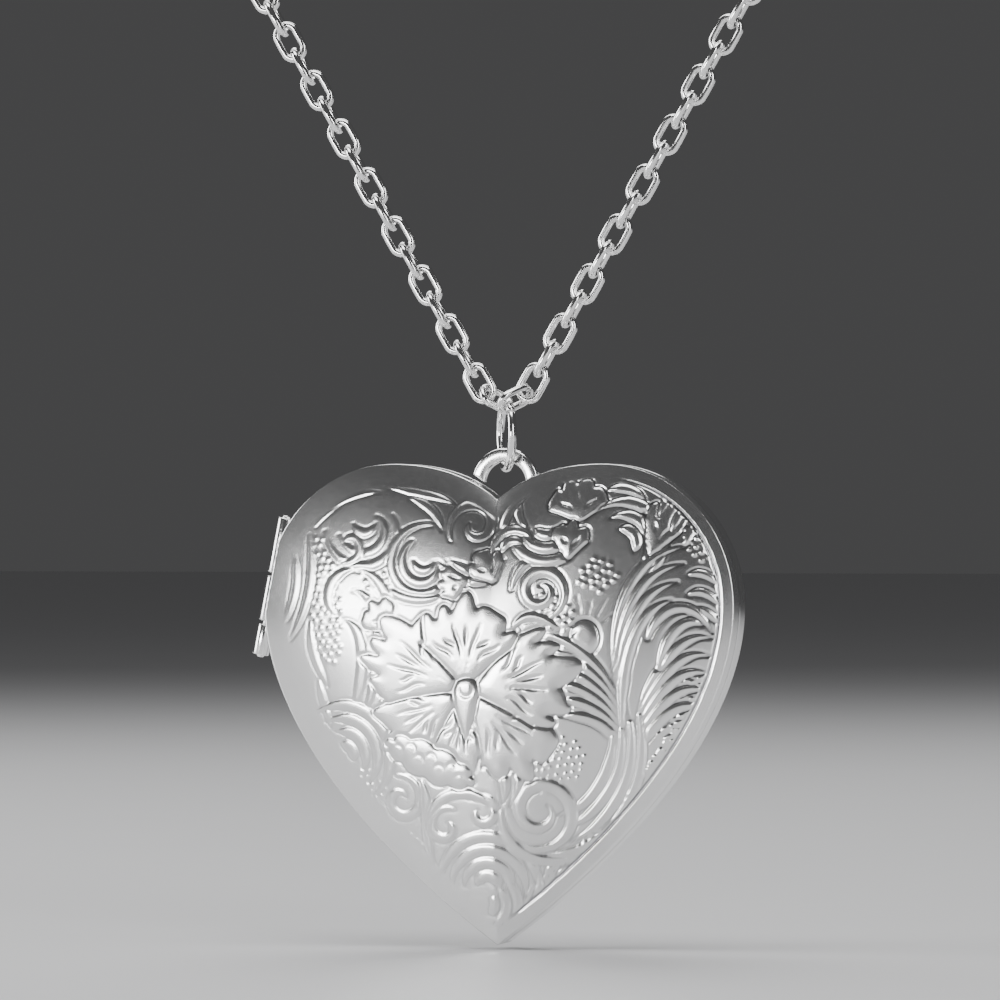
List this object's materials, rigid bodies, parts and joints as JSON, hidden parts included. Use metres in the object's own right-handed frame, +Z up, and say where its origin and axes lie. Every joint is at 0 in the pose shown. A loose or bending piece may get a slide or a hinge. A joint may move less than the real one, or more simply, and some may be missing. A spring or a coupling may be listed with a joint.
{
  "type": "heart locket on a chain",
  "caption": "Hinged heart-shaped photo locket with a flat bail and jump ring, hanging from the two arms of a cable chain.",
  "frame": {"origin": "midway between the centres of the two held end rings of the chain, where a neck or a display holds it", "axes": "+Z up along the hang, +X to the viewer's right across the heart, -Y the way the engraved front cover faces"},
  "size_m": [0.0527, 0.0078, 0.092],
  "materials": {
    "silver": "polished sterling silver with engraved scrollwork",
    "chain_silver": "polished silver wire",
    "steel": "plain drawn wire"
  },
  "bodies": {
    "held_ends": {"left_end_ring": "chain_silver", "right_end_ring": "chain_silver", "clasp_body": "chain_silver", "clasp_pivot": "steel", "clasp_spring": "steel"},
    "clasp_lever": {"clasp_lever": "chain_silver"},
    "chain_row_18": {"left_link_18": "chain_silver", "right_link_18": "chain_silver"},
    "chain_row_17": {"left_link_17": "chain_silver", "right_link_17": "chain_silver"},
    "chain_row_16": {"left_link_16": "chain_silver", "right_link_16": "chain_silver"},
    "chain_row_15": {"left_link_15": "chain_silver", "right_link_15": "chain_silver"},
    "chain_row_14": {"left_link_14": "chain_silver", "right_link_14": "chain_silver"},
    "chain_row_13": {"left_link_13": "chain_silver", "right_link_13": "chain_silver"},
    "chain_row_12": {"left_link_12": "chain_silver", "right_link_12": "chain_silver"},
    "chain_row_11": {"left_link_11": "chain_silver", "right_link_11": "chain_silver"},
    "chain_row_10": {"left_link_10": "chain_silver", "right_link_10": "chain_silver"},
    "chain_row_09": {"left_link_09": "chain_silver", "right_link_09": "chain_silver"},
    "chain_row_08": {"left_link_08": "chain_silver", "right_link_08": "chain_silver"},
    "chain_row_07": {"left_link_07": "chain_silver", "right_link_07": "chain_silver"},
    "chain_row_06": {"left_link_06": "chain_silver", "right_link_06": "chain_silver"},
    "chain_row_05": {"left_link_05": "chain_silver", "right_link_05": "chain_silver"},
    "chain_row_04": {"left_link_04": "chain_silver", "right_link_04": "chain_silver"},
    "chain_row_03": {"left_link_03": "chain_silver", "right_link_03": "chain_silver"},
    "chain_row_02": {"left_link_02": "chain_silver", "right_link_02": "chain_silver"},
    "chain_row_01": {"left_link_01": "chain_silver", "right_link_01": "chain_silver"},
    "jump_ring": {"jump_ring": "chain_silver"},
    "locket_back": {"back_cover": "silver", "back_photo_frame": "silver", "hinge_knuckle_top": "silver", "hinge_knuckle_bottom": "silver", "hinge_pin": "steel", "bail": "silver", "latch_catch": "silver"},
    "locket_front": {"front_cover": "silver", "front_photo_frame": "silver", "hinge_knuckle_middle": "silver", "latch_tongue": "silver"}
  },
  "joints": [
    {"name": "clasp_lever_swing", "type": "hinge", "parent": "held_ends", "child": "clasp_lever", "pos_m": [-0.02338, 0, 0.00581], "axis": [0, -1, 0], "range_deg": [0, 24], "stiffness_Nm_per_rad": 0.0008, "springref_deg": -17.19},
    {"name": "chain_row_18_swing", "type": "hinge", "parent": "held_ends", "child": "chain_row_18", "pos_m": [0, 0, -0.00086], "axis": [1, 0, 0], "range_deg": [-20, 20]},
    {"name": "chain_row_17_swing", "type": "hinge", "parent": "chain_row_18", "child": "chain_row_17", "pos_m": [0, 0, -0.00349], "axis": [-1, 0, 0], "range_deg": [-20, 20]},
    {"name": "chain_row_16_swing", "type": "hinge", "parent": "chain_row_17", "child": "chain_row_16", "pos_m": [0, 0, -0.00497], "axis": [1, 0, 0], "range_deg": [-20, 20]},
    {"name": "chain_row_15_swing", "type": "hinge", "parent": "chain_row_16", "child": "chain_row_15", "pos_m": [0, 0, -0.0076], "axis": [-1, 0, 0], "range_deg": [-20, 20]},
    {"name": "chain_row_14_swing", "type": "hinge", "parent": "chain_row_15", "child": "chain_row_14", "pos_m": [0, 0, -0.00908], "axis": [1, 0, 0], "range_deg": [-20, 20]},
    {"name": "chain_row_13_swing", "type": "hinge", "parent": "chain_row_14", "child": "chain_row_13", "pos_m": [0, 0, -0.01171], "axis": [-1, 0, 0], "range_deg": [-20, 20]},
    {"name": "chain_row_12_swing", "type": "hinge", "parent": "chain_row_13", "child": "chain_row_12", "pos_m": [0, 0, -0.01319], "axis": [1, 0, 0], "range_deg": [-20, 20]},
    {"name": "chain_row_11_swing", "type": "hinge", "parent": "chain_row_12", "child": "chain_row_11", "pos_m": [0, 0, -0.01582], "axis": [-1, 0, 0], "range_deg": [-20, 20]},
    {"name": "chain_row_10_swing", "type": "hinge", "parent": "chain_row_11", "child": "chain_row_10", "pos_m": [0, 0, -0.01729], "axis": [1, 0, 0], "range_deg": [-20, 20]},
    {"name": "chain_row_09_swing", "type": "hinge", "parent": "chain_row_10", "child": "chain_row_09", "pos_m": [0, 0, -0.01993], "axis": [-1, 0, 0], "range_deg": [-20, 20]},
    {"name": "chain_row_08_swing", "type": "hinge", "parent": "chain_row_09", "child": "chain_row_08", "pos_m": [0, 0, -0.0214], "axis": [1, 0, 0], "range_deg": [-20, 20]},
    {"name": "chain_row_07_swing", "type": "hinge", "parent": "chain_row_08", "child": "chain_row_07", "pos_m": [0, 0, -0.02404], "axis": [-1, 0, 0], "range_deg": [-20, 20]},
    {"name": "chain_row_06_swing", "type": "hinge", "parent": "chain_row_07", "child": "chain_row_06", "pos_m": [0, 0, -0.02551], "axis": [1, 0, 0], "range_deg": [-20, 20]},
    {"name": "chain_row_05_swing", "type": "hinge", "parent": "chain_row_06", "child": "chain_row_05", "pos_m": [0, 0, -0.02815], "axis": [-1, 0, 0], "range_deg": [-20, 20]},
    {"name": "chain_row_04_swing", "type": "hinge", "parent": "chain_row_05", "child": "chain_row_04", "pos_m": [0, 0, -0.02962], "axis": [1, 0, 0], "range_deg": [-20, 20]},
    {"name": "chain_row_03_swing", "type": "hinge", "parent": "chain_row_04", "child": "chain_row_03", "pos_m": [0, 0, -0.03226], "axis": [-1, 0, 0], "range_deg": [-20, 20]},
    {"name": "chain_row_02_swing", "type": "hinge", "parent": "chain_row_03", "child": "chain_row_02", "pos_m": [0, 0, -0.03373], "axis": [1, 0, 0], "range_deg": [-20, 20]},
    {"name": "chain_row_01_swing", "type": "hinge", "parent": "chain_row_02", "child": "chain_row_01", "pos_m": [0, 0, -0.03637], "axis": [-1, 0, 0], "range_deg": [-6, 6]},
    {"name": "jump_ring_swing", "type": "hinge", "parent": "chain_row_01", "child": "jump_ring", "pos_m": [0, 0, -0.03929], "axis": [0.9063, 0.4226, 0], "range_deg": [-25, 25]},
    {"name": "locket_swing", "type": "hinge", "parent": "jump_ring", "child": "locket_back", "pos_m": [0, 0, -0.04212], "axis": [0, 1, 0], "range_deg": [-25, 25]},
    {"name": "cover_hinge", "type": "hinge", "parent": "locket_back", "child": "locket_front", "pos_m": [-0.02003, -0.0009, -0.05205], "axis": [-0.1908, 0, -0.9816], "range_deg": [0, 130]}
  ]
}
